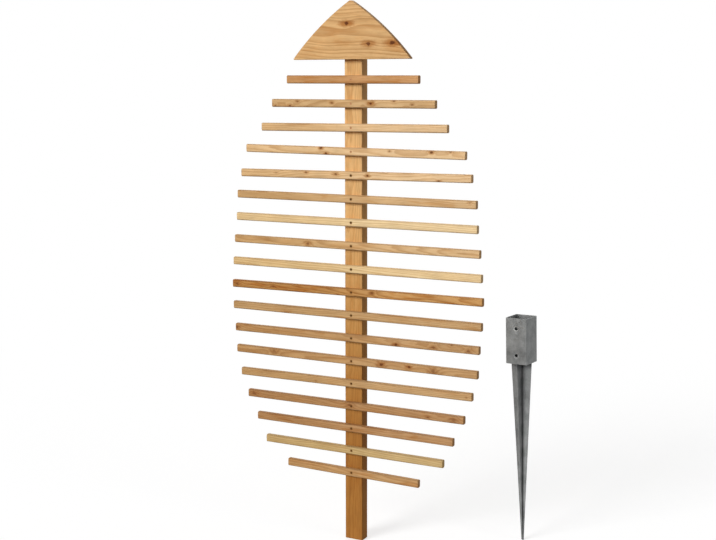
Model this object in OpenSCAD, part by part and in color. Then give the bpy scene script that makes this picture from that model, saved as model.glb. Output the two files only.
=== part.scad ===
// Leaf-shaped wooden plant trellis: one upright post, a pointed cap board and a row of slats that
// widen and narrow again, with a steel ground spike for a post standing beside it.
// Millimetres, +Z up. The origin is the centre of the post's foot, +X runs along the slats, and
// the slats are on the front of the post, towards -Y.

/* [Post] */
// Width of the post across the front
post_w = 63; // [50:1:80]
// Thickness of the post from front to back
post_t = 38; // [32:1:50]
// Radius of the post's long edges
post_round = 3; // [1:0.5:6]
// How far the post reaches up behind the cap board
post_cover = 135; // [120:5:140]

/* [Slats] */
// Length of the longest slat
slat_longest = 900; // [600:10:1200]
// Height of a slat
slat_h = 26; // [22:1:40]
// Thickness of a slat
slat_t = 18; // [16:1:28]
// Clear gap from one slat to the next, and up to the cap board
slat_gap = 49; // [20:1:80]
// Clear height of the post below the lowest slat
foot_clear = 220; // [100:1:500]
// Radius of a slat's long edges
slat_round = 5; // [1:0.5:7]
// Radius of a slat's sawn end edges
slat_end_round = 1.5; // [0.5:0.5:4]

/* [Cap board] */
// Width of the cap board between its lower corners
cap_w = 408; // [340:1:500]
// Height of the cap board
cap_h = 180; // [170:1:240]
// Thickness of the cap board
cap_t = 20; // [18:1:28]
// Radius of the two arched edges
cap_arc_r = 860; // [500:10:2000]
// Width sawn off each lower corner
cap_nose = 3; // [1:0.5:6]
// Height sawn off the point
cap_blunt = 2; // [1:0.5:6]

/* [Screws] */
// Diameter of a screw's shank
screw_d = 4; // [3:0.5:5]
// Diameter of a screw's countersunk head
screw_head_d = 8; // [6.5:0.5:10]
// Height of the countersunk cone
screw_head_h = 2.5; // [2:0.1:4]
// How deep a head is driven below the wood
screw_sink = 0.6; // [0.2:0.1:1.5]
// Length of a screw's point
screw_point = 5; // [3:0.5:8]
// How far a slat screw bites into the post
slat_bite = 25; // [15:1:28]
// How far a cap screw bites into the cap board
cap_bite = 14; // [10:0.5:16]
// Height of the lower cap screw above the board's lower edge
cap_screw_rise = 30; // [20:1:45]
// Distance between the two cap screws
cap_screw_pitch = 70; // [30:1:70]
// Room around a shank
screw_clear = 0.1; // [0.05:0.05:0.3]
// Width of the drive cross in a head
drive_w = 1; // [0.6:0.1:1.4]
// Length of the drive cross
drive_l = 4.6; // [3:0.1:5.5]
// Depth of the drive cross
drive_deep = 1.5; // [0.8:0.1:1.8]

/* [Ground spike] */
// Inner width of the square sleeve
sleeve_inner = 71; // [60:1:101]
// Thickness of the steel sheet
sheet_t = 2; // [1.5:0.5:3]
// Inner radius of the sleeve's corners
bend_r = 1.5; // [1:0.5:6]
// Height of the sleeve
sleeve_h = 150; // [120:5:200]
// Length of the blade below the sleeve
blade_h = 600; // [400:10:800]
// Width of the blade at its blunt tip
tip_w = 10; // [8:1:20]
// Inner radius of the bend in each of the blade's two angles
blade_bend_r = 8; // [3:1:10]
// How far the blade's tabs reach up into the sleeve
tab_h = 12; // [6:1:20]
// Diameter of the sleeve's screw holes
hole_d = 11; // [8:0.5:13]
// Distance from the sleeve's rim down to the upper hole
hole_drop = 34; // [20:1:50]
// Distance between the two holes
hole_pitch = 88; // [60:1:90]
// Diameter of the dimple around a hole
dimple_d = 17; // [14:0.5:20]
// Depth of the dimple
dimple_deep = 1; // [0.5:0.1:1.2]
// Place of the spike's tip to the right of the post
spike_x = 500; // [350:1:700]
// Place of the spike's tip behind the post
spike_y = 232; // [100:1:400]
// Turn of the spike about its own upright, in degrees
spike_turn = 7.5; // [0:0.5:45]
// Lean of the spike to the left, in degrees
spike_lean = 1.6; // [0:0.1:3]

/* [Hidden] */
// Length of each slat from the top down, as a share of the longest
slat_length_shares = [
    0.515, 0.64, 0.73, 0.863, 0.91, 0.945, 0.955, 0.975, 0.99,
    1, 0.995, 0.98, 0.97, 0.933, 0.875, 0.795, 0.72, 0.533
];
// Each slat hangs on one screw and sits a little off level: degrees, positive with the right end up
slat_tilts = [
    -0.3, -0.2, 0.2, -0.5, 0.4, -0.1, -0.1, -0.1, 0,
    0.3, 0, 0.2, -0.1, 0.3, 0, -0.1, -0.1, -0.9
];
wood_post = "#be8550";
wood_cap = "#d5aa74";
wood_orange = "#ca925c";
wood_honey = "#d0a572";
wood_pink = "#e0b684";
wood_cream = "#e6c68e";
wood_rust = "#b88248";
wood_tan = "#c39966";
wood_brown = "#bc915f";
wood_umber = "#b48556";
wood_straw = "#c6a46f";
steel_screw = "#5e5348";
steel_galvanised = "#868a8b";
slat_tones = [
    wood_orange, wood_honey, wood_pink, wood_pink, wood_pink, wood_honey, wood_cream, wood_honey, wood_cream,
    wood_rust, wood_tan, wood_brown, wood_brown, wood_tan, wood_umber, wood_umber, wood_straw, wood_brown
];
slat_count = len(slat_length_shares);
slat_pitch = slat_h + slat_gap;
slat_front_y = -post_t / 2 - slat_t;
slat_lowest_z = foot_clear + slat_h / 2;
cap_z = foot_clear + slat_count * slat_pitch;
cap_front_y = -post_t / 2 - cap_t;
post_h = cap_z + post_cover;

// The cap's two arcs meet at a point above the sawn-off tip and outside the sawn-off corners
cap_half = cap_w / 2 + cap_nose;
cap_peak = cap_h + cap_blunt;
cap_chord = norm([cap_half, cap_peak]);
cap_reach = sqrt(pow(cap_arc_r, 2) - pow(cap_chord / 2, 2));
cap_arc_x = cap_half / 2 - cap_peak / cap_chord * cap_reach;
cap_arc_z = cap_peak / 2 - cap_half / cap_chord * cap_reach;

slat_screw_l = slat_t - screw_sink + slat_bite;
cap_screw_l = post_t - screw_sink + cap_bite;

sleeve_outer = sleeve_inner + 2 * sheet_t;
spike_h = blade_h + sleeve_h;
spike_lift = tip_w / 2 * sin(spike_lean);
// Room that is left where the spike's pieces are welded together
weld_gap = 0.05;
tab_half = sleeve_inner / 2 - weld_gap;
// Each angle's outer faces lie past the middle line by this much, so that the two round bends just meet there
bend_lift = (blade_bend_r + sheet_t) * (1 - cos(45)) - weld_gap;

// How far cuts run past what they cut
overrun = 2;
// Facets of small round shapes and of the cap's long arcs
round_fn = 48;
arc_fn = 720;

function slat_name(i) = str("slat_", i < 9 ? "0" : "", i + 1);
function slat_z(i) = slat_lowest_z + (slat_count - 1 - i) * slat_pitch;

// Rectangle with true round corners, centred
module rounded_rect(w, h, r) {
    square([w - 2 * r, h], center = true);
    square([w, h - 2 * r], center = true);
    for (x = [-1, 1], y = [-1, 1])
        translate([x * (w / 2 - r), y * (h / 2 - r)])
            circle(r, $fn = round_fn);
}

// Bar along X with round long edges and eased ends, centred
module rounded_bar(l, t, h, edge_r, end_r) {
    intersection() {
        rotate([90, 0, 90])
            linear_extrude(l, center = true)
                rounded_rect(t, h, edge_r);
        linear_extrude(h, center = true)
            rounded_rect(l, t, end_r);
        rotate([90, 0, 0])
            linear_extrude(t, center = true)
                rounded_rect(l, h, end_r);
    }
}

// Countersunk wood screw with its head's top at the origin and its point towards +Z
module screw(l) {
    difference() {
        union() {
            cylinder(screw_head_h, screw_head_d / 2, screw_d / 2, $fn = round_fn);
            cylinder(l - screw_point, d = screw_d, $fn = round_fn);
            translate([0, 0, l - screw_point])
                cylinder(screw_point, screw_d / 2, 0, $fn = round_fn);
        }
        for (turn = [0, 90])
            rotate([0, 0, turn])
                translate([-drive_l / 2, -drive_w / 2, -overrun])
                    cube([drive_l, drive_w, drive_deep + overrun]);
    }
}

// What a screw's head takes out of the wood, with the wood's face at the origin and the wood towards +Z
module countersink() {
    translate([0, 0, -overrun])
        cylinder(overrun + screw_sink, d = screw_head_d, $fn = round_fn);
    translate([0, 0, screw_sink])
        cylinder(screw_head_h, screw_head_d / 2, screw_d / 2, $fn = round_fn);
}

// Hole for a shank from the origin towards +Z
module shank_hole(deep) {
    cylinder(deep, d = screw_d + 2 * screw_clear, $fn = round_fn);
}

// Puts its children at slat i's screw, on the plane at depth y, with +Z turned to +Y
module at_slat_screw(i, y) {
    translate([0, y, slat_z(i)])
        rotate([-90, 0, 0])
            children();
}

// Puts its children at both cap screws, on the plane at depth y, with +Z turned to -Y
module at_cap_screws(y) {
    for (k = [0, 1])
        translate([0, y, cap_z + cap_screw_rise + k * cap_screw_pitch])
            rotate([90, 0, 0])
                children();
}

module post() {
    color(wood_post)
        difference() {
            linear_extrude(post_h)
                rounded_rect(post_w, post_t, post_round);
            for (i = [0 : slat_count - 1])
                at_slat_screw(i, -post_t / 2 - overrun)
                    shank_hole(overrun + slat_bite);
            at_cap_screws(post_t / 2)
                countersink();
            at_cap_screws(post_t / 2)
                shank_hole(post_t + overrun);
        }
}

module cap_board() {
    color(wood_cap)
        difference() {
            translate([0, -post_t / 2, cap_z])
                rotate([90, 0, 0])
                    linear_extrude(cap_t)
                        cap_outline();
            at_cap_screws(-post_t / 2 + overrun)
                shank_hole(overrun + cap_bite);
        }
}

module cap_outline() {
    intersection() {
        translate([cap_arc_x, cap_arc_z])
            circle(cap_arc_r, $fn = arc_fn);
        translate([-cap_arc_x, cap_arc_z])
            circle(cap_arc_r, $fn = arc_fn);
        translate([-cap_w / 2, 0])
            square([cap_w, cap_h]);
    }
}

module slat(i) {
    l = slat_longest * slat_length_shares[i];
    color(slat_tones[i])
        difference() {
            translate([0, slat_front_y + slat_t / 2, slat_z(i)])
                rotate([0, -slat_tilts[i], 0])
                    rounded_bar(l, slat_t, slat_h, slat_round, slat_end_round);
            at_slat_screw(i, slat_front_y)
                countersink();
            at_slat_screw(i, slat_front_y)
                shank_hole(slat_t + overrun);
        }
}

module slat_screws() {
    color(steel_screw)
        for (i = [0 : slat_count - 1])
            at_slat_screw(i, slat_front_y + screw_sink)
                screw(slat_screw_l);
}

module cap_screws() {
    color(steel_screw)
        at_cap_screws(post_t / 2 - screw_sink)
            screw(cap_screw_l);
}

// The spike's own frame: upright, with its tip at the origin
module place_spike() {
    translate([spike_x, spike_y, spike_lift])
        rotate([0, 0, -spike_turn])
            rotate([0, -spike_lean, 0])
                children();
}

// A bolt hole through the front and back walls of the sleeve, with a dimple around each mouth
module bolt_hole(z) {
    translate([0, 0, z])
        rotate([90, 0, 0]) {
            cylinder(sleeve_outer + 2 * overrun, d = hole_d, center = true, $fn = round_fn);
            for (side = [0, 1])
                mirror([0, 0, side])
                    translate([0, 0, sleeve_outer / 2 - dimple_deep])
                        cylinder(dimple_deep, hole_d / 2, dimple_d / 2, $fn = round_fn);
        }
}

module spike_sleeve() {
    color(steel_galvanised)
        place_spike()
            difference() {
                translate([0, 0, blade_h])
                    linear_extrude(sleeve_h)
                        difference() {
                            rounded_rect(sleeve_outer, sleeve_outer, bend_r + sheet_t);
                            rounded_rect(sleeve_inner, sleeve_inner, bend_r);
                        }
                bolt_hole(spike_h - hole_drop);
                bolt_hole(spike_h - hole_drop - hole_pitch);
            }
}

// The blade seen square on: a wedge as wide as the sleeve at the top, with tabs that stand inside the sleeve
module blade_outline() {
    polygon([[-tip_w / 2, 0], [tip_w / 2, 0], [sleeve_outer / 2, blade_h], [-sleeve_outer / 2, blade_h]]);
    translate([-tab_half, blade_h])
        square([2 * tab_half, tab_h]);
}

// Section of one bent sheet: legs towards -X and -Y from a round bend at the middle line
module angle_section() {
    difference() {
        translate([bend_lift - sleeve_outer / 2, bend_lift - sleeve_outer / 2])
            rounded_rect(sleeve_outer, sleeve_outer, blade_bend_r + sheet_t);
        translate([bend_lift - sheet_t - sleeve_outer, bend_lift - sheet_t - sleeve_outer])
            rounded_rect(2 * sleeve_outer, 2 * sleeve_outer, blade_bend_r);
    }
}

// One of the two like angles that stand back to back and make the cross-shaped blade
module blade_angle() {
    intersection() {
        translate([0, 0, -overrun])
            linear_extrude(blade_h + tab_h + 2 * overrun)
                angle_section();
        intersection_for (turn = [0, 90])
            rotate([90, 0, turn])
                linear_extrude(sleeve_outer + 2 * overrun, center = true)
                    blade_outline();
    }
}

module spike_front_angle() {
    color(steel_galvanised)
        place_spike()
            blade_angle();
}

module spike_back_angle() {
    color(steel_galvanised)
        place_spike()
            rotate([0, 0, 180])
                blade_angle();
}

post();
cap_board();
for (i = [0 : slat_count - 1])
    slat(i);
slat_screws();
cap_screws();
spike_sleeve();
spike_front_angle();
spike_back_angle();
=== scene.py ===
# Looks of a leaf-shaped larch trellis and its galvanised ground spike.
# Lengths are in metres and angles in radians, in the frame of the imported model: +Z up, slats towards -Y.
from collections import namedtuple
from math import atan2, ceil, cos, hypot, pi, radians, sin, sqrt

import bmesh
import bpy
from mathutils import Matrix, Vector, noise


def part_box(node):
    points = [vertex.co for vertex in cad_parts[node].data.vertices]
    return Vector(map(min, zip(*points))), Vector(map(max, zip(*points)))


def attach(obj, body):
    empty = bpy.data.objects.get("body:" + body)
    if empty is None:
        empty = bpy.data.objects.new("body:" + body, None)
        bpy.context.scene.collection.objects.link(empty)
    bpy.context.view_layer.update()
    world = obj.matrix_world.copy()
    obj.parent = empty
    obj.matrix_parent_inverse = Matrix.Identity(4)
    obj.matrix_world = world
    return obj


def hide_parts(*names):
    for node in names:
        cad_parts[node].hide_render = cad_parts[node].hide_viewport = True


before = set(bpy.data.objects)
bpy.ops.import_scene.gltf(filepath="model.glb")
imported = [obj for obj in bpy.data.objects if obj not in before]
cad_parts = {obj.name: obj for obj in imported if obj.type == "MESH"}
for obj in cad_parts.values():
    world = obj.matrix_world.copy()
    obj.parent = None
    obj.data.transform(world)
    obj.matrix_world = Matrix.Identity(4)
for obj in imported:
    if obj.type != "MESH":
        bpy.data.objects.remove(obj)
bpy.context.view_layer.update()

MM = 0.001
BACKWARDS = Vector((0, 1, 0))
FORWARDS = Vector((0, -1, 0))

# Camera: the photograph is 716 pixels wide, and these are its fitted place, directions and focal length
PHOTO_WIDTH_PX = 716
FOCAL_LENGTH_PX = 1226
SENSOR_WIDTH_MM = 36
CAMERA_PLACE = Vector((1.7942, -3.4700, 1.5019))
CAMERA_PITCH = radians(8.742)
CAMERA_YAW = radians(27.259)
CAMERA_ROLL = radians(0.043)
CAMERA_SIGHT = 200

# Boards
POST_EDGE = 3 * MM
SLAT_EDGE = 5 * MM
CAP_EDGE = 1.2 * MM
SLAT_SAWN_EDGE = 1.5 * MM
POST_SAWN_EDGE = 0.75 * MM
STATION_STEP = 7 * MM
CORNER_STEPS = 6
FLAT_STEPS = 4
SAWN_STEPS = 4
CAP_EDGE_STEPS = 3

# Wear of the boards' edges, and how fine its two noises are
WEAR_DEEP = 0.25 * MM
WEAR_SCALE = 45
NIBBLE_SCALE = 130

# Screws
SLAT_HEIGHT = 26 * MM
SLAT_PITCH = 75 * MM
HEAD_RADIUS = 4 * MM
DRIVE_RADIUS = 2.3 * MM
SHANK_RADIUS = 2.1 * MM
HEAD_SINK = 0.6 * MM
CONE_DEEP = 2.375 * MM
PILOT_DEEP = 25 * MM
CUT_OVERRUN = 2 * MM
CUTTER_SIDES = 40

# The screws of this many slats at the top are still bright and have not stained the wood
FRESH_SCREWS = 4

# Ground spike, in its own upright frame with the tip at the origin
SPIKE_PLACE = Vector((0.5, 0.232, 0.00014))
SPIKE_TURN = radians(-7.5)
SPIKE_LEAN = radians(-1.6)
SHEET = 2 * MM
SHEARED_EDGE = 0.35 * MM
SHEARED_STEPS = 2
SLEEVE_HALF = 37.5 * MM
SLEEVE_BEND = 3.5 * MM
SLEEVE_TOP = 750 * MM
SLEEVE_FOOT = 600 * MM
TIP_HALF = 5 * MM
TAB_HALF = 35.45 * MM
TAB_TOP = 612 * MM
ANGLE_BEND = 10 * MM
WELD_GAP = 0.05 * MM
BEND_STEPS = 12
WEDGE_SIDES = 4
HOLE_RADIUS = 5.5 * MM
HOLE_SIDES = 48
DIMPLE_RADIUS = 8.5 * MM
DIMPLE_DEEP = 1 * MM
HOLE_HEIGHTS = (716 * MM, 628 * MM)

# Angles between faces: up to the first they are one flat, up to the second smooth, from the third an edge
FLAT_ANGLE = radians(0.05)
SMOOTH_ANGLE = radians(32)
EDGE_ANGLE = radians(60)
MERGE_REACH = 0.02 * MM


# Shader graph helper

NoiseKind = namedtuple("NoiseKind", "stretch shift detail rough warp", defaults=(0, 2, 0.5, 0))
SHIFT_DIRECTION = (1, 0.7, 0.3)


def srgb(red, green, blue):
    """Linear RGBA of a colour that is given as it shows on a screen, 0 to 255."""
    def linear(value):
        value /= 255
        return value / 12.92 if value <= 0.04045 else ((value + 0.055) / 1.055) ** 2.4
    return (linear(red), linear(green), linear(blue), 1)


def grey(value):
    return (value, value, value, 1)


class Graph:
    """The node tree of a material or world, built by calls that take and return sockets."""

    def __init__(self, owner, shader="Principled BSDF"):
        owner.use_nodes = True
        self.owner = owner
        self.tree = owner.node_tree
        self.shader = self.tree.nodes[shader]

    def feed(self, socket, value):
        if isinstance(value, bpy.types.NodeSocket):
            self.tree.links.new(value, socket)
        else:
            socket.default_value = value

    def into_shader(self, inputs):
        """Feeds the shader and returns the material or world."""
        for key, value in inputs.items():
            self.feed(self.shader.inputs[key], value)
        return self.owner

    def add(self, kind, inputs, output=0, **settings):
        node = self.tree.nodes.new(kind)
        for key, value in settings.items():
            setattr(node, key, value)
        for key, value in inputs.items():
            self.feed(node.inputs[key], value)
        return node.outputs[output]

    def math(self, operation, *values):
        return self.add("ShaderNodeMath", dict(enumerate(values)), operation=operation)

    def vector(self, operation, *values):
        return self.add("ShaderNodeVectorMath", dict(enumerate(values)), operation=operation)

    def scaled(self, vector, factor):
        return self.add("ShaderNodeVectorMath", {0: vector, "Scale": factor}, operation="SCALE")

    def length(self, vector):
        return self.add("ShaderNodeVectorMath", {0: vector}, "Value", operation="LENGTH")

    def noise(self, point, kind, seed=0):
        """Noise stretched along the axes and moved off by its kind's shift and the seed."""
        shift = kind.shift + seed
        spot = self.vector("MULTIPLY", point, kind.stretch)
        spot = self.vector("ADD", spot, tuple(shift * part for part in SHIFT_DIRECTION))
        inputs = {
            "Vector": spot,
            "Scale": 1,
            "Detail": kind.detail,
            "Roughness": kind.rough,
            "Distortion": kind.warp,
        }
        return self.add("ShaderNodeTexNoise", inputs)

    def spread(self, value, low, high, to_low=0, to_high=1, kind="SMOOTHSTEP"):
        """Maps low to high of the value to another range, and holds it at that range's ends."""
        inputs = {0: value, 1: low, 2: high, 3: to_low, 4: to_high}
        return self.add("ShaderNodeMapRange", inputs, interpolation_type=kind)

    def even(self, value, band, to_low=0, to_high=1):
        """Straight mapping of a band of the value to another range."""
        return self.spread(value, *band, to_low, to_high, "LINEAR")

    def mix(self, share, first, second):
        inputs = {0: share, 6: first, 7: second}
        return self.add("ShaderNodeMix", inputs, 2, data_type="RGBA")

    def tint(self, share, colour, factors):
        """The colour multiplied by the red, green and blue factors, as far as share says."""
        return self.vector("MULTIPLY", colour, self.mix(share, (1, 1, 1, 1), (*factors, 1)))

    def parts(self, point):
        node = self.tree.nodes.new("ShaderNodeSeparateXYZ")
        self.feed(node.inputs[0], point)
        return tuple(node.outputs)

    def joined(self, x, y, z):
        return self.add("ShaderNodeCombineXYZ", {0: x, 1: y, 2: z})

    def object_point(self):
        return self.add("ShaderNodeTexCoord", {}, "Object")

    def local_point(self, place):
        """The shading point in the frame of a piece that place puts into the model's frame."""
        inputs = {
            "Vector": self.object_point(),
            "Location": place.to_translation(),
            "Rotation": place.to_euler(),
        }
        return self.add("ShaderNodeMapping", inputs, vector_type="TEXTURE")

    def local_normal(self, place):
        normal = self.add("ShaderNodeNewGeometry", {}, "Normal")
        inputs = {"Vector": normal, "Rotation": place.to_euler()}
        return self.add("ShaderNodeMapping", inputs, vector_type="TEXTURE")

    def bump(self, height, strength, distance):
        inputs = {"Height": height, "Strength": strength, "Distance": distance}
        return self.add("ShaderNodeBump", inputs)


# Larch, with the tones of its boards

TONES = {
    "orange": srgb(210, 159, 107),
    "honey": srgb(216, 177, 127),
    "pink": srgb(235, 198, 150),
    "cream": srgb(238, 208, 158),
    "rust": srgb(193, 143, 84),
    "tan": srgb(199, 161, 113),
    "brown": srgb(194, 153, 105),
    "umber": srgb(182, 139, 94),
    "straw": srgb(201, 172, 121),
    "post": srgb(196, 145, 82),
    "cap": srgb(223, 178, 122),
}

# What multiplies the wood's red, green and blue in each of its marks
EARLYWOOD = (1.07, 1.08, 1.09)
LATEWOOD = (0.68, 0.55, 0.42)
STREAK = (0.84, 0.76, 0.64)
RUST = (0.86, 0.68, 0.46)
KNOT_HALO = (0.62, 0.42, 0.24)
STAIN = (0.62, 0.52, 0.42)
# The rounded arrises are made darker and greyer
ARRIS_TINT = (0.72, 0.70, 0.70)
FLANK = (0.96, 0.94, 0.92)
END_GRAIN = (0.95, 0.90, 0.84)
KNOT_BROWN = srgb(98, 50, 18)

# Noises of the wood, stretched along the grain
FIBRE_NOISE = NoiseKind((26, 900, 900), 0, 3, 0.6)
STREAK_NOISE = NoiseKind((11, 120, 120), 3, 3, 0.6, 0.5)
CLOUD_NOISE = NoiseKind((15, 40, 40), 7, 3, 0.6)
RUST_NOISE = NoiseKind((9, 75, 75), 13, 2, 0.5, 0.6)
DUCT_NOISE = NoiseKind((70, 1500, 1500), 17, 0)
RAGGED_NOISE = NoiseKind((130, 130, 130))
PITH_NOISES = (NoiseKind((2.2, 3, 3)), NoiseKind((3.1, 2, 2), 5))
RIPPLE_NOISE = NoiseKind((14, 120, 120), 9)
UNEVEN_NOISE = NoiseKind((90, 1, 1), 0, 1)

# Bands of a value that are mapped to another range, and those in which a noise makes a mark on the wood
WHOLE = (0, 1)
MOST = (0.2, 0.8)
MIDDLE = (0.25, 0.75)
STREAK_BAND = (0.48, 0.72)
RUST_BAND = (0.5, 0.7)
DUCT_BAND = (0.72, 0.8)
DUCT_SHARE = 0.3

# The light that fibre and clouds give to the wood or take from it
FIBRE_LIGHT = (0.94, 1.06)
CLOUD_LIGHT = (-0.11, 0.11)

# Growth rings: latewood's rise and sudden end in each, their ripple, and how their widths vary
LATE_RISE = (0.3, 0.9)
LATE_FALL = (0.93, 1.0)
RIPPLE = 0.7 * MM
UNEVEN_TURNS = 1.6

# Sizes round a knot in its own radii, the bands in which its core and halo fade, and their ragged rims
CORE_LONG = 1.35
HALO_HIGH = 2.3
SWELL_LONG = 3.4
SWELL_HIGH = 2.4
SWELL_PUSH = 0.55
CORE_FADE = (0.55, 1.1)
HALO_FADE = (0.35, 1.15)
CORE_RIM = (0.6, 1.45)
HALO_RIM = (0.82, 1.25)

# Share of the stain round a screw, and its reach in radii of the head
STAIN_SHARE = 0.5
STAIN_REACH = 1.8

# How square to its axis a face is where it counts as an end, a flank or an arris
END_BAND = (0.55, 0.9)
FLANK_BAND = (0.8, 0.97)
ARRIS_BAND = (0.8, 0.98)

# Under painted light and shade, darker wood loses more green and blue than red
GREEN_POWER = 1.5
BLUE_POWER = 2.5

# Where a board's painted light goes from its left value to its right one, in board lengths from the middle
FADE_ENDS = (-0.35, 0.25)

WOOD_ROUGHNESS = (0.55, 0.76)
WOOD_SPECULAR = 0.12
WOOD_BUMP = 0.5
WOOD_BUMP_DEEP = 0.35 * MM
FIBRE_RELIEF = 0.6
LATE_RELIEF = 0.35
KNOT_RELIEF = -0.5

# Seeds of the boards' grain and wear
SLAT_SEED_STEP = 11.3
POST_WEAR_SEED = 3.1
POST_SEED = 47.0
CAP_SEED = 71.0

Knot = namedtuple("Knot", "along up radius dark tail")
Board = namedtuple("Board", "tone fade late streak rust spacing wave pith slope knots")


def oval_reach(g, along, above, half_long, half_high):
    """0 at an oval's middle and 1 on its rim."""
    across = g.math("DIVIDE", along, half_long)
    upward = g.math("DIVIDE", above, half_high)
    return g.length(g.joined(across, 0, upward))


def knot_marks(g, point, knots, seed):
    """The grain's bend round the knots, their dark cores, and the brown halos drawn out along the grain."""
    x, _, z = g.parts(point)
    ragged = g.noise(point, RAGGED_NOISE, seed)
    core_rim = g.even(ragged, MOST, *CORE_RIM)
    halo_rim = g.even(ragged, MOST, *HALO_RIM)
    bend, core, halo = 0.0, 0.0, 0.0
    for knot in knots:
        radius = knot.radius
        along = g.math("SUBTRACT", x, knot.along)
        above = g.math("SUBTRACT", z, knot.up)
        near = g.math("MULTIPLY", oval_reach(g, along, above, CORE_LONG * radius, radius), core_rim)
        core = g.math("MAXIMUM", core, g.spread(near, *CORE_FADE, knot.dark, 0))
        wide = oval_reach(g, along, above, knot.tail * radius, HALO_HIGH * radius)
        wide = g.math("MULTIPLY", wide, halo_rim)
        halo = g.math("MAXIMUM", halo, g.spread(wide, *HALO_FADE, knot.dark, 0))
        swell = oval_reach(g, along, above, SWELL_LONG * radius, SWELL_HIGH * radius)
        swell = g.math("EXPONENT", g.math("MULTIPLY", g.math("MULTIPLY", swell, swell), -1))
        bend = g.math("ADD", bend, g.math("MULTIPLY", swell, SWELL_PUSH * radius))
    return bend, core, halo


def growth_rings(g, point, board, bend, seed):
    """Share of dark latewood, 0 to 1, from the distance to the wandering pith."""
    x, y, z = g.parts(point)
    offsets = []
    for value, slope, pith, kind in zip((y, z), board.slope, board.pith, PITH_NOISES):
        offset = g.math("ADD", value, g.math("MULTIPLY", x, slope))
        offset = g.math("SUBTRACT", offset, pith)
        wander = g.even(g.noise(point, kind, seed), WHOLE, -board.wave, board.wave)
        offsets.append(g.math("ADD", offset, wander))
    reach = g.math("ADD", g.length(g.joined(0, *offsets)), bend)
    ripple = g.even(g.noise(point, RIPPLE_NOISE, seed), WHOLE, -RIPPLE, RIPPLE)
    reach = g.math("ADD", reach, ripple)
    turns = g.math("DIVIDE", reach, board.spacing)
    uneven = g.noise(g.joined(reach, seed, 0), UNEVEN_NOISE)
    turns = g.math("ADD", turns, g.math("MULTIPLY", uneven, UNEVEN_TURNS))
    place = g.math("FRACT", turns)
    return g.math("MULTIPLY", g.spread(place, *LATE_RISE), g.spread(place, *LATE_FALL, 1, 0))


def with_painted_light(g, tone, light):
    """The tone under painted light and shade: made darker by a light under 1, or paler; darker wood is also
    the redder.
    """
    factors = g.joined(light, g.math("POWER", light, GREEN_POWER), g.math("POWER", light, BLUE_POWER))
    return g.vector("MULTIPLY", tone, factors)


def faces_of(g, place):
    """How far the surface is a sawn end, an upper or lower side, or a rounded arris."""
    x, y, z = g.parts(g.vector("ABSOLUTE", g.local_normal(place)))
    steepest = g.math("MAXIMUM", x, g.math("MAXIMUM", y, z))
    return g.spread(x, *END_BAND), g.spread(z, *FLANK_BAND), g.spread(steepest, *ARRIS_BAND, 1, 0)


def larch(name, place, board, seed, length, stains=()):
    """Planed larch whose grain runs along the board's own X axis."""
    g = Graph(bpy.data.materials.new(name))
    point = g.local_point(place)
    x, y, z = g.parts(point)
    bend, core, halo = knot_marks(g, point, board.knots, seed)
    late = g.math("MULTIPLY", growth_rings(g, point, board, bend, seed), board.late)
    slanted = g.joined(x, y, g.math("ADD", z, g.math("MULTIPLY", x, board.slope[1])))
    fibre = g.noise(point, FIBRE_NOISE, seed)
    streak = g.noise(slanted, STREAK_NOISE, seed)
    cloud = g.noise(point, CLOUD_NOISE, seed)
    rusty = g.noise(slanted, RUST_NOISE, seed)
    duct = g.noise(point, DUCT_NOISE, seed)
    end, flank, arris = faces_of(g, place)

    # Painted light and shade along the board, from its left end's value to its right end's
    fade = g.spread(x, FADE_ENDS[0] * length, FADE_ENDS[1] * length, *board.fade)
    colour = with_painted_light(g, TONES[board.tone][:3], fade)
    colour = g.tint(late, g.vector("MULTIPLY", colour, EARLYWOOD), LATEWOOD)
    colour = g.tint(g.spread(streak, *STREAK_BAND, 0, board.streak), colour, STREAK)
    colour = g.tint(g.spread(rusty, *RUST_BAND, 0, board.rust), colour, RUST)
    light = g.math("ADD", g.even(fibre, MIDDLE, *FIBRE_LIGHT), g.even(cloud, MOST, *CLOUD_LIGHT))
    colour = g.scaled(colour, light)
    colour = g.tint(g.spread(duct, *DUCT_BAND, 0, DUCT_SHARE), colour, LATEWOOD)
    if board.knots:
        colour = g.tint(halo, colour, KNOT_HALO)
        colour = g.mix(core, colour, KNOT_BROWN)
    for height in stains:
        reach = g.length(g.joined(x, 0, g.math("SUBTRACT", z, height)))
        share = g.spread(reach, HEAD_RADIUS, STAIN_REACH * HEAD_RADIUS, STAIN_SHARE, 0)
        colour = g.tint(share, colour, STAIN)
    colour = g.tint(arris, colour, ARRIS_TINT)
    colour = g.tint(flank, colour, FLANK)
    colour = g.tint(end, colour, END_GRAIN)

    relief = g.math("MULTIPLY", fibre, FIBRE_RELIEF)
    relief = g.math("ADD", relief, g.math("MULTIPLY", late, LATE_RELIEF))
    relief = g.math("ADD", relief, g.math("MULTIPLY", core, KNOT_RELIEF))
    return g.into_shader({
        "Base Color": colour,
        "Roughness": g.even(fibre, MOST, *WOOD_ROUGHNESS),
        "Specular IOR Level": WOOD_SPECULAR,
        "Normal": g.bump(relief, WOOD_BUMP, WOOD_BUMP_DEEP),
    })


# Steel

ZINC_DARK = srgb(104, 106, 106)
ZINC_PALE = srgb(158, 160, 159)
ZINC_METALLIC = 0.4
ZINC_ROUGHNESS = (0.5, 0.66)
ZINC_BUMP = 0.4
ZINC_BUMP_DEEP = 0.5 * MM
GRIT_RELIEF = 0.35

ZINC_CLOUD = NoiseKind((30, 30, 26), 4, 3, 0.55)
ZINC_RUNS = NoiseKind((120, 120, 9), 8)
ZINC_GRIT = NoiseKind((900, 900, 900), 2)
CRYSTAL_SCALE = 190

# What multiplies the zinc's red, green and blue in the painted shadow of the sleeve on the blade and in the
# painted highlight round the bolt holes
PAINTED_SLEEVE_SHADOW = (0.45, 0.45, 0.46)
PAINTED_RIM_HIGHLIGHT = (1.45, 1.45, 1.45)

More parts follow.
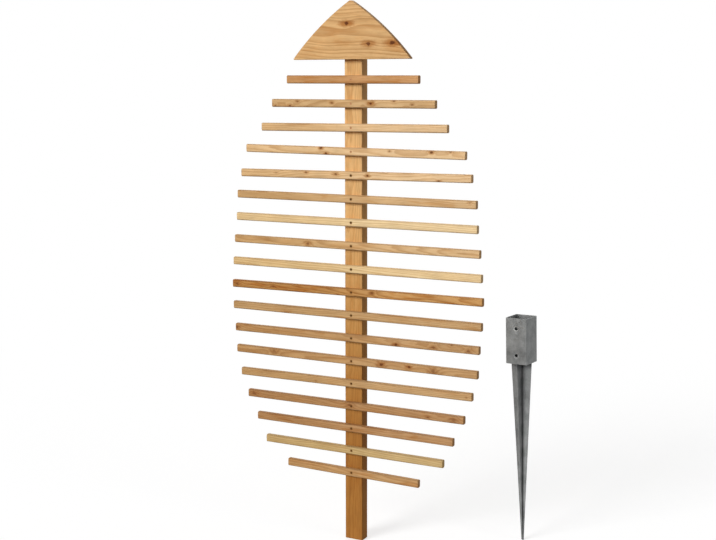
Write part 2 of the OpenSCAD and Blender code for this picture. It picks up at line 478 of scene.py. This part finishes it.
# What the clouds, runs, crystals and grit add to the share of the paler zinc
STEEL_BAND = (0.3, 0.7)
CLOUD_SHARE = 0.8
RUNS_SHARE = 0.1
CRYSTAL_SHARE = 0.16
GRIT_SHARES = (-0.12, 0.06)

# The blade's painted shadow from the sleeve: it fades from the nearer to the further distance below the
# sleeve, to a last share
SHADOW_NEAR = 4 * MM
SHADOW_FAR = 30 * MM
SHADOW_FAR_SHARE = 0.3

# Screw heads, whose painted shade in the drive recess is fainter on the fresh ones
HEAD_NOISE = NoiseKind((420, 420, 420), 1, 3)
HEAD_BAND = (0.35, 0.65)
BROWNED = (srgb(100, 64, 22), srgb(130, 84, 32))
FRESH = (srgb(198, 142, 98), srgb(216, 162, 114))
PAINTED_DRIVE_SHADE = srgb(36, 23, 6)
DRIVE_INNER = 0.8
DRIVE_SHARE = 0.8
FRESH_DRIVE = 0.25
HEAD_METALLIC = 0.2
HEAD_SPECULAR = 0.15
HEAD_ROUGHNESS = (0.5, 0.75)
HEAD_BUMP = 0.3
HEAD_BUMP_DEEP = 0.05 * MM


def galvanised(place):
    """Dull hot-dip zinc: soft clouds, faint crystals and upright runs."""
    g = Graph(bpy.data.materials.new("galvanised"))
    point = g.local_point(place)
    x, _, z = g.parts(point)
    cloud = g.noise(point, ZINC_CLOUD)
    runs = g.noise(point, ZINC_RUNS)
    crystal = g.add("ShaderNodeTexVoronoi", {"Vector": point, "Scale": CRYSTAL_SCALE}, "Color")
    grit = g.noise(point, ZINC_GRIT)
    pale = g.even(cloud, STEEL_BAND, 0, CLOUD_SHARE)
    pale = g.math("ADD", pale, g.even(runs, STEEL_BAND, 0, RUNS_SHARE))
    pale = g.math("ADD", pale, g.math("MULTIPLY", g.parts(crystal)[0], CRYSTAL_SHARE))
    pale = g.math("ADD", pale, g.even(grit, STEEL_BAND, *GRIT_SHARES))
    colour = g.mix(pale, ZINC_DARK, ZINC_PALE)
    # Painted shadow of the sleeve on the blade, darkest just below the sleeve
    sleeve_shadow = g.spread(z, SLEEVE_FOOT - SHADOW_FAR, SLEEVE_FOOT - SHADOW_NEAR, SHADOW_FAR_SHARE, 1)
    sleeve_shadow = g.math("MULTIPLY", sleeve_shadow, g.math("LESS_THAN", z, SLEEVE_FOOT))
    colour = g.tint(sleeve_shadow, colour, PAINTED_SLEEVE_SHADOW)
    # Painted highlight on the dimples round each bolt hole
    for height in HOLE_HEIGHTS:
        reach = g.length(g.joined(x, 0, g.math("SUBTRACT", z, height)))
        rim = g.spread(reach, DIMPLE_RADIUS, DIMPLE_RADIUS + DIMPLE_DEEP, 1, 0)
        rim = g.math("MULTIPLY", rim, g.math("GREATER_THAN", reach, HOLE_RADIUS))
        colour = g.tint(rim, colour, PAINTED_RIM_HIGHLIGHT)
    relief = g.math("ADD", g.math("MULTIPLY", grit, GRIT_RELIEF), cloud)
    return g.into_shader({
        "Base Color": colour,
        "Metallic": ZINC_METALLIC,
        "Roughness": g.even(cloud, STEEL_BAND, *ZINC_ROUGHNESS),
        "Normal": g.bump(relief, ZINC_BUMP, ZINC_BUMP_DEEP),
    })


def screw_steel(lowest, fresh_from):
    """Browned screw heads with painted shade in the drive recess; the ones high up on the trellis are still
    fresh and pale.
    """
    g = Graph(bpy.data.materials.new("screw_steel"))
    point = g.object_point()
    x, _, z = g.parts(point)
    patch = g.noise(point, HEAD_NOISE)
    turns = g.math("DIVIDE", g.math("SUBTRACT", z, lowest - SLAT_PITCH / 2), SLAT_PITCH)
    above = g.math("MULTIPLY", g.math("SUBTRACT", g.math("FRACT", turns), 0.5), SLAT_PITCH)
    reach = g.length(g.joined(x, 0, above))
    patchy = g.spread(patch, *HEAD_BAND)
    fresh = g.spread(z, fresh_from, fresh_from + HEAD_RADIUS)
    # Painted shade in the drive recess, fainter on the fresh heads
    drive = g.spread(reach, DRIVE_INNER * DRIVE_RADIUS, DRIVE_RADIUS, DRIVE_SHARE, 0)
    drive = g.math("MULTIPLY", drive, g.even(fresh, WHOLE, 1, FRESH_DRIVE))
    colour = g.mix(fresh, g.mix(patchy, *BROWNED), g.mix(patchy, *FRESH))
    return g.into_shader({
        "Base Color": g.mix(drive, colour, PAINTED_DRIVE_SHADE),
        "Metallic": HEAD_METALLIC,
        "Specular IOR Level": HEAD_SPECULAR,
        "Roughness": g.even(patch, STEEL_BAND, *HEAD_ROUGHNESS),
        "Normal": g.bump(patch, HEAD_BUMP, HEAD_BUMP_DEEP),
    })


# Meshes


def new_object(name, data):
    piece = bpy.data.objects.new(name, data)
    bpy.context.scene.collection.objects.link(piece)
    return piece


def mesh_of(bm, name):
    mesh = bpy.data.meshes.new(name)
    bm.to_mesh(mesh)
    bm.free()
    return mesh


def skin(name, rings, closed=False):
    """Mesh over rings of points: the last ring meets the first, or both ends are capped."""
    bm = bmesh.new()
    loops = [[bm.verts.new(point) for point in ring] for ring in rings]
    size = len(loops[0])
    following = loops[1:] + loops[:1] if closed else loops[1:]
    for loop, ahead in zip(loops, following):
        for k in range(size):
            bm.faces.new((loop[k], loop[(k + 1) % size], ahead[(k + 1) % size], ahead[k]))
    if not closed:
        bm.faces.new(loops[0])
        bm.faces.new(loops[-1])
    bmesh.ops.recalc_face_normals(bm, faces=bm.faces)
    return mesh_of(bm, name)


def apply_modifiers(piece):
    """Puts the evaluated mesh in the place of the piece's own."""
    bpy.context.view_layer.update()
    evaluated = piece.evaluated_get(bpy.context.evaluated_depsgraph_get())
    mesh = bpy.data.meshes.new_from_object(evaluated)
    piece.modifiers.clear()
    piece.data = mesh
    return piece


def combine(piece, other, operation):
    """Cuts the piece by the other mesh or keeps what they share; the other is used up."""
    modifier = piece.modifiers.new(operation.lower(), "BOOLEAN")
    modifier.operation = operation
    modifier.solver = "EXACT"
    modifier.object = other
    apply_modifiers(piece)
    bpy.data.objects.remove(other)
    return piece


def rounded_section(wide, high, radius):
    """Points of a rounded rectangle with their outward directions, counterclockwise."""
    centres = []
    for right, up in ((1, 1), (-1, 1), (-1, -1), (1, -1)):
        centres.append(Vector((right * (wide / 2 - radius), up * (high / 2 - radius))))
    points = []
    for turn, centre in enumerate(centres):
        for step in range(CORNER_STEPS + 1):
            angle = (turn + step / CORNER_STEPS) * pi / 2
            out = Vector((cos(angle), sin(angle)))
            points.append((centre + radius * out, out))
        last, out = points[-1]
        following = centres[(turn + 1) % len(centres)] + radius * out
        for step in range(1, FLAT_STEPS):
            points.append((last.lerp(following, step / FLAT_STEPS), out))
    return points


def board_stations(length, end_radius):
    """Places along a board with how far its section draws in there."""
    half = length / 2
    bends = []
    for step in range(SAWN_STEPS + 1):
        angle = step / SAWN_STEPS * pi / 2
        bends.append((end_radius * (1 - cos(angle)), end_radius * (1 - sin(angle))))
    straight = length - 2 * end_radius
    count = ceil(straight / STATION_STEP)
    left = [(-half + away, inset) for away, inset in bends]
    middle = [(-half + end_radius + straight * step / count, 0) for step in range(1, count)]
    right = [(half - away, inset) for away, inset in reversed(bends)]
    return left + middle + right


def board_mesh(name, length, thick, high, edge_radius, end_radius, seed):
    """A board along X with eased, slightly worn edges and sawn ends."""
    section = rounded_section(thick, high, edge_radius)
    rings = []
    for x, inset in board_stations(length, end_radius):
        ring = []
        for flat, out in section:
            spot = Vector((x, flat.x, flat.y))
            worn = WEAR_DEEP * (0.5 + 0.5 * noise.noise(spot * WEAR_SCALE + Vector((seed, 0, 0))))
            edge = min(abs(out.x), abs(out.y))
            nibble = max(0, noise.noise(spot * NIBBLE_SCALE + Vector((0, seed, 0))))
            drawn = inset + worn * 0.5 + 2 * WEAR_DEEP * edge * nibble
            ring.append((x, flat.x - out.x * drawn, flat.y - out.y * drawn))
        rings.append(ring)
    return skin(name, rings)


def lathe_cutter(name, profile, place, sides=CUTTER_SIDES):
    """Closed turned solid along its own Z axis, through the profile's (radius, height) points."""
    turns = [2 * pi * k / sides for k in range(sides)]
    rings = [[(radius * cos(a), radius * sin(a), height) for a in turns] for radius, height in profile]
    cutter = new_object(name, skin(name, rings))
    cutter.data.transform(place)
    return cutter


def joined_cutters(cutters):
    """One object that holds all the cutters' meshes."""
    bm = bmesh.new()
    for cutter in cutters:
        bm.from_mesh(cutter.data)
        bpy.data.objects.remove(cutter)
    return new_object("cutters", mesh_of(bm, "cutters"))


def at_mouth(mouth, inwards):
    """Matrix that puts a cutter's Z axis at a hole's mouth, into the wood or steel."""
    turn = Vector((0, 0, 1)).rotation_difference(inwards).to_matrix().to_4x4()
    return Matrix.Translation(mouth) @ turn


def countersink(place, deep):
    profile = [
        (HEAD_RADIUS, -CUT_OVERRUN),
        (HEAD_RADIUS, HEAD_SINK),
        (SHANK_RADIUS, HEAD_SINK + CONE_DEEP),
        (SHANK_RADIUS, deep),
    ]
    return lathe_cutter("countersink", profile, place)


def pilot_hole(place, deep):
    return lathe_cutter("hole", [(SHANK_RADIUS, -CUT_OVERRUN), (SHANK_RADIUS, deep)], place)


def dress(piece, node, material):
    """Smooths a piece, gives it its material and lets it stand for its node."""
    mesh = piece.data
    mesh.polygons.foreach_set("use_smooth", [True] * len(mesh.polygons))
    mesh.set_sharp_from_angle(angle=SMOOTH_ANGLE)
    mesh.materials.clear()
    mesh.materials.append(material)
    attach(piece, "root")
    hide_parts(node)


# Trellis


def slat_place(node):
    """Where a slat lies, its length and its thickness, from its CAD node."""
    low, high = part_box(node)
    points = [v.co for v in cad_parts[node].data.vertices]
    ends = []
    for end in (low.x, high.x):
        heights = [p.z for p in points if abs(p.x - end) < SLAT_HEIGHT / 4]
        ends.append(sum(heights) / len(heights))
    tilt = atan2(ends[1] - ends[0], high.x - low.x)
    length = (high.x - low.x - SLAT_HEIGHT * abs(sin(tilt))) / cos(tilt)
    place = Matrix.Translation((low + high) / 2) @ Matrix.Rotation(-tilt, 4, "Y")
    return place, length, high.y - low.y


def make_slat(number, board):
    node = f"slat_{number:02d}"
    place, length, thick = slat_place(node)
    name = f"larch_slat_{number:02d}"
    seed = SLAT_SEED_STEP * number
    mesh = board_mesh(name, length, thick, SLAT_HEIGHT, SLAT_EDGE, SLAT_SAWN_EDGE, seed)
    mesh.transform(place)
    front = place.to_translation() + FORWARDS * thick / 2
    cutter = countersink(at_mouth(front, BACKWARDS), thick + CUT_OVERRUN)
    piece = combine(new_object(name, mesh), cutter, "DIFFERENCE")
    stains = () if number <= FRESH_SCREWS else (0,)
    dress(piece, node, larch(name, place, board, seed, length, stains))


def make_post(board, slat_heights, cap_heights):
    low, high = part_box("post")
    size = high - low
    place = Matrix.Translation((low + high) / 2) @ Matrix.Rotation(-pi / 2, 4, "Y")
    mesh = board_mesh("larch_post", size.z, size.y, size.x, POST_EDGE, POST_SAWN_EDGE, POST_WEAR_SEED)
    mesh.transform(place)
    cutters = []
    for height in slat_heights:
        place_in = at_mouth(Vector((0, low.y, height)), BACKWARDS)
        cutters.append(pilot_hole(place_in, PILOT_DEEP))
    for height in cap_heights:
        place_in = at_mouth(Vector((0, high.y, height)), FORWARDS)
        cutters.append(countersink(place_in, size.y + CUT_OVERRUN))
    piece = combine(new_object("larch_post", mesh), joined_cutters(cutters), "DIFFERENCE")
    dress(piece, "post", larch("larch_post", place, board, POST_SEED, size.z))


def make_cap(board, cap_heights):
    """The cap board: its CAD shape with eased edges, but for its screw holes."""
    bm = bmesh.new()
    bm.from_mesh(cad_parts["cap_board"].data)
    bmesh.ops.remove_doubles(bm, verts=bm.verts, dist=MERGE_REACH)
    bmesh.ops.dissolve_limit(bm, angle_limit=FLAT_ANGLE, verts=bm.verts, edges=bm.edges)
    outer = []
    for edge in bm.edges:
        sharp = edge.is_manifold and edge.calc_face_angle() > EDGE_ANGLE
        from_holes = [hypot(v.co.x, v.co.z - height) for v in edge.verts for height in cap_heights]
        if sharp and min(from_holes) > HEAD_RADIUS:
            outer.append(edge)
    eased = {"offset": CAP_EDGE, "segments": CAP_EDGE_STEPS, "profile": 0.5, "clamp_overlap": True}
    bmesh.ops.bevel(bm, geom=outer, affect="EDGES", **eased)
    piece = new_object("larch_cap", mesh_of(bm, "larch_cap"))
    low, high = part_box("cap_board")
    place = Matrix.Translation(((low.x + high.x) / 2, (low.y + high.y) / 2, low.z))
    dress(piece, "cap_board", larch("larch_cap", place, board, CAP_SEED, high.x - low.x))


# Ground spike


def bolt_cutters():
    """Holes with dimples through the front and back walls of the sleeve."""
    profile = [
        (DIMPLE_RADIUS + DIMPLE_DEEP, -DIMPLE_DEEP),
        (DIMPLE_RADIUS, 0),
        (HOLE_RADIUS, DIMPLE_DEEP),
        (HOLE_RADIUS, SHEET + CUT_OVERRUN),
    ]
    cutters = []
    for height in HOLE_HEIGHTS:
        for inwards in (BACKWARDS, FORWARDS):
            mouth = Vector((0, 0, height)) - SLEEVE_HALF * inwards
            cutters.append(lathe_cutter("hole", profile, at_mouth(mouth, inwards), HOLE_SIDES))
    return joined_cutters(cutters)


def make_sleeve(name):
    """The square sleeve: a wall with eased edges, led round the corners."""
    wall = rounded_section(SHEET, SLEEVE_TOP - SLEEVE_FOOT, SHEARED_EDGE)
    middle = (SLEEVE_TOP + SLEEVE_FOOT) / 2
    across = 2 * SLEEVE_HALF - SHEET
    rings = []
    for spot, out in rounded_section(across, across, SLEEVE_BEND - SHEET / 2):
        ring = []
        for thick, _ in wall:
            flat = spot + out * thick.x
            ring.append((flat.x, flat.y, middle + thick.y))
        rings.append(ring)
    return combine(new_object(name, skin(name, rings, closed=True)), bolt_cutters(), "DIFFERENCE")


def angle_section():
    """Outline of a bent sheet: legs towards -X and -Y from a round bend at the middle line."""
    lift = ANGLE_BEND * (1 - cos(pi / 4)) - WELD_GAP
    centre = lift - ANGLE_BEND
    reach = -SLEEVE_HALF - CUT_OVERRUN
    turns = [pi / 2 * step / BEND_STEPS for step in range(BEND_STEPS + 1)]
    outer = [(centre + ANGLE_BEND * cos(a), centre + ANGLE_BEND * sin(a)) for a in turns]
    inside = ANGLE_BEND - SHEET
    inner = [(centre + inside * cos(a), centre + inside * sin(a)) for a in reversed(turns)]
    return [(lift, reach)] + outer + [(reach, lift), (reach, lift - SHEET)] + inner + [(lift - SHEET, reach)]


def make_angle(name):
    """One of the blade's two angles, sheared to the wedge and its tabs."""
    rings = [[(x, y, z) for x, y in angle_section()] for z in (-CUT_OVERRUN, TAB_TOP + CUT_OVERRUN)]
    halves = ((TIP_HALF, 0), (SLEEVE_HALF, SLEEVE_FOOT), (TAB_HALF, SLEEVE_FOOT), (TAB_HALF, TAB_TOP))
    profile = [(half * sqrt(2), height) for half, height in halves]
    wedge = lathe_cutter("wedge", profile, Matrix.Rotation(pi / 4, 4, "Z"), WEDGE_SIDES)
    piece = combine(new_object(name, skin(name, rings)), wedge, "INTERSECT")
    bevel = piece.modifiers.new("sheared", "BEVEL")
    bevel.width = SHEARED_EDGE
    bevel.segments = SHEARED_STEPS
    bevel.limit_method = "ANGLE"
    bevel.angle_limit = EDGE_ANGLE
    return apply_modifiers(piece)


def make_spike():
    turned = Matrix.Rotation(SPIKE_TURN, 4, "Z") @ Matrix.Rotation(SPIKE_LEAN, 4, "Y")
    place = Matrix.Translation(SPIKE_PLACE) @ turned
    material = galvanised(place)
    sleeve = make_sleeve("steel_sleeve")
    front = make_angle("steel_front_angle")
    back = make_angle("steel_back_angle")
    back.data.transform(Matrix.Rotation(pi, 4, "Z"))
    for piece, node in ((sleeve, "spike_sleeve"), (front, "spike_front_angle"), (back, "spike_back_angle")):
        piece.data.transform(place)
        dress(piece, node, material)


# The boards


def board(tone, fade, streak, rust, spacing, pith, slope, *places, late=0.6, wave=8, tail=4.5):
    """A board's looks, with its lengths in millimetres.

    fade is its painted light at the left and right, and streak, rust and late are how strong those marks
    are. The growth rings have their spacing, pith, slopes along the board and wave. Each place is a knot's:
    along the board from its middle, above its middle line or the cap board's lower edge, radius, and how
    dark it is.
    """
    pith = (pith[0] * MM, pith[1] * MM)
    knots = [Knot(along * MM, up * MM, radius * MM, dark, tail) for along, up, radius, dark in places]
    return Board(tone, fade, late, streak, rust, spacing * MM, wave * MM, pith, slope, knots)


SLATS = [
    board("orange", (0.96, 1.03), 0.9, 0.9, 2.6, (30, 40), (0.010, 0.020)),
    board("honey", (0.96, 1.02), 0.7, 0.2, 2.2, (45, -8), (0.015, 0.010),
          (70, 1, 4.5, 0.95), (-67, 2, 3, 0.6), (-192, 5, 3, 0.5), (-220, -8, 4, 0.6),
          (-275, -8, 3, 0.5), (150, 9, 3, 0.5), (212, -2, 3, 0.4)),
    board("pink", (0.90, 1.04), 0.4, 0.3, 2.8, (-60, 30), (0.008, -0.010)),
    board("pink", (0.95, 1.02), 0.3, 0.2, 2.4, (50, 6), (0.006, 0.008),
          (-108, 9, 3.5, 0.9), (-89, -8, 3.5, 0.9), (135, 6, 2.5, 0.5), (277, 7, 4, 0.85),
          (340, 9, 3, 0.5)),
    board("pink", (0.90, 1.03), 0.4, 0.3, 2.5, (38, -12), (0.012, 0.006),
          (-162, 6, 3, 0.6), (-55, 3, 4, 0.65), (59, 1, 3.5, 0.9), (302, -9, 3, 0.6),
          (-275, 3, 3, 0.3)),
    board("honey", (0.92, 1.06), 0.6, 0.6, 2.3, (-40, 22), (0.010, 0.014), (405, 6, 3, 0.3)),
    board("cream", (0.95, 1.04), 0.2, 0.1, 3.0, (60, 45), (0.006, 0.006)),
    board("honey", (0.92, 1.06), 0.6, 0.4, 2.4, (36, 4), (0.014, 0.010), (-158, -1, 5, 0.6)),
    board("cream", (0.88, 1.00), 0.3, 0.2, 2.7, (-52, -20), (0.008, 0.010)),
    board("rust", (0.90, 1.12), 1.0, 1.0, 2.2, (34, 10), (0.016, 0.018),
          (75, 4, 4, 0.5), (-290, 0, 4, 0.5), (-432, 0, 5, 0.5), late=0.9),
    board("tan", (0.95, 1.02), 0.6, 0.6, 2.5, (48, -24), (0.008, 0.008)),
    board("brown", (0.93, 1.04), 0.6, 0.5, 2.4, (32, 8), (0.012, 0.014),
          (160, -5, 4.5, 0.85), (290, -3, 5, 0.5), (350, 10, 3, 0.4), (407, -4, 5, 0.45),
          (-436, 0, 5, 0.6)),
    board("brown", (0.94, 1.02), 0.5, 0.4, 2.3, (36, -6), (0.010, 0.010),
          (108, 0, 5.5, 0.85), (206, 3, 4, 0.9), (289, -2, 6, 0.5), (-290, 3, 6, 0.35)),
    board("tan", (0.92, 1.02), 0.5, 0.4, 2.8, (-55, 26), (0.006, 0.006),
          (-130, -5, 2.5, 0.35), (402, -2, 2, 0.4)),
    board("umber", (0.93, 1.02), 0.6, 0.6, 2.3, (34, 12), (0.012, 0.012),
          (-5, 4, 6, 0.4), (272, -3, 3, 0.5), (-370, 0, 6, 0.4), (360, -1, 6, 0.4)),
    board("umber", (0.94, 1.05), 0.8, 0.8, 2.5, (-42, 16), (0.010, 0.008)),
    board("straw", (0.94, 1.00), 0.4, 0.2, 2.9, (54, 30), (0.006, 0.006)),
    board("brown", (0.94, 1.00), 0.8, 0.6, 2.5, (40, 14), (0.012, 0.010)),
]
# The post's painted light and shade: darker towards its foot
POST = board("post", (0.67, 1.42), 0.5, 0.4, 2.6, (70, 20), (0.010, 0.010), late=0.4)
CAP = board("cap", (0.99, 1.01), 0.5, 0.45, 9.5, (24, 88), (0.030, 0.060),
            (-13, 110, 6, 0.95), (63, 47, 6, 0.85), (145, 49, 7, 0.95), late=0.7, wave=22, tail=6)


# Stage

Light = namedtuple("Light", "name turn rise strength")

AMBIENT = 0.19
LIGHT_SPREAD = radians(30)
LIGHTS = (
    Light("key", radians(-24), radians(22), 2.6),
    Light("back", radians(-150), radians(35), 1.1),
    Light("fill", radians(80), radians(20), 0.35),
)

FLOOR_HALF = 40
FLOOR_WHITE = 0.5
FLOOR_ROUGHNESS = 0.9

# The floor's own glow makes up what its lit colour lacks to plain white
FLOOR_LIGHT = AMBIENT + sum(light.strength * sin(light.rise) for light in LIGHTS) / pi
FLOOR_GLOW = 1 - FLOOR_WHITE * FLOOR_LIGHT

# Distances from the post between which the floor turns from lit to plain white
FLOOR_FADE = (1.0, 3.5)


def seen_directly(g):
    """1 for rays from the camera and through gloss or glass, 0 for the light that falls on things."""
    path = g.tree.nodes.new("ShaderNodeLightPath")
    rays = [path.outputs[kind] for kind in ("Is Camera Ray", "Is Glossy Ray", "Is Transmission Ray")]
    return g.math("MAXIMUM", rays[0], g.math("MAXIMUM", rays[1], rays[2]))


def stage_floor():
    """Floor that shows as plain white where it is lit, with soft shadows near the object."""
    bm = bmesh.new()
    bmesh.ops.create_grid(bm, x_segments=1, y_segments=1, size=FLOOR_HALF)
    floor = new_object("floor", mesh_of(bm, "floor"))
    g = Graph(bpy.data.materials.new("floor"))
    far = g.spread(g.length(g.object_point()), *FLOOR_FADE)
    glow = g.even(far, WHOLE, FLOOR_GLOW, 1)
    material = g.into_shader({
        "Base Color": g.mix(far, grey(FLOOR_WHITE), grey(0)),
        "Roughness": FLOOR_ROUGHNESS,
        "Specular IOR Level": 0,
        "Emission Color": grey(1),
        "Emission Strength": g.math("MULTIPLY", glow, seen_directly(g)),
    })
    floor.data.materials.append(material)


def white_world():
    """World that shows as plain white and lights things by the ambient level."""
    g = Graph(bpy.data.worlds.new("world"), "Background")
    strength = g.even(seen_directly(g), WHOLE, AMBIENT, 1)
    bpy.context.scene.world = g.into_shader({"Color": grey(1), "Strength": strength})


def make_light(light):
    """A broad lamp far off: turned from the slats' front towards +X, and risen above the horizon."""
    data = bpy.data.lights.new(light.name, "SUN")
    data.energy = light.strength
    data.angle = LIGHT_SPREAD
    turn, rise = light.turn, light.rise
    towards = Vector((sin(turn) * cos(rise), -cos(turn) * cos(rise), sin(rise)))
    lamp = new_object(light.name, data)
    lamp.rotation_euler = towards.to_track_quat("Z", "Y").to_euler()


def make_camera():
    data = bpy.data.cameras.new("camera")
    data.sensor_width = SENSOR_WIDTH_MM
    data.lens = FOCAL_LENGTH_PX / PHOTO_WIDTH_PX * SENSOR_WIDTH_MM
    data.clip_end = CAMERA_SIGHT
    camera = new_object("camera", data)
    upright = Matrix.Rotation(CAMERA_YAW, 4, "Z") @ Matrix.Rotation(pi / 2 - CAMERA_PITCH, 4, "X")
    rolled = upright @ Matrix.Rotation(-CAMERA_ROLL, 4, "Z")
    camera.matrix_world = Matrix.Translation(CAMERA_PLACE) @ rolled
    bpy.context.scene.camera = camera


def screw_heights(node, side):
    """Heights of the screws in a node, from the parts of it that reach furthest to one side."""
    low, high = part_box(node)
    face = low.y if side < 0 else high.y
    heights = sorted(v.co.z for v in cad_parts[node].data.vertices if abs(v.co.y - face) < HEAD_SINK)
    groups = [[heights[0]]]
    for height in heights[1:]:
        if height - groups[-1][-1] > HEAD_RADIUS:
            groups.append([])
        groups[-1].append(height)
    return [(group[0] + group[-1]) / 2 for group in groups]


make_camera()
slat_screw_heights = screw_heights("slat_screws", -1)
cap_screw_heights = screw_heights("cap_screws", 1)
for number, slat in enumerate(SLATS, 1):
    make_slat(number, slat)
make_post(POST, slat_screw_heights, cap_screw_heights)
make_cap(CAP, cap_screw_heights)
make_spike()

steel = screw_steel(slat_screw_heights[0], slat_screw_heights[-FRESH_SCREWS] - SLAT_PITCH / 2)
for screws in ("slat_screws", "cap_screws"):
    node_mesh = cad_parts[screws].data
    node_mesh.materials.clear()
    node_mesh.materials.append(steel)

stage_floor()
white_world()
for light in LIGHTS:
    make_light(light)
bpy.context.scene.view_settings.view_transform = "Standard"
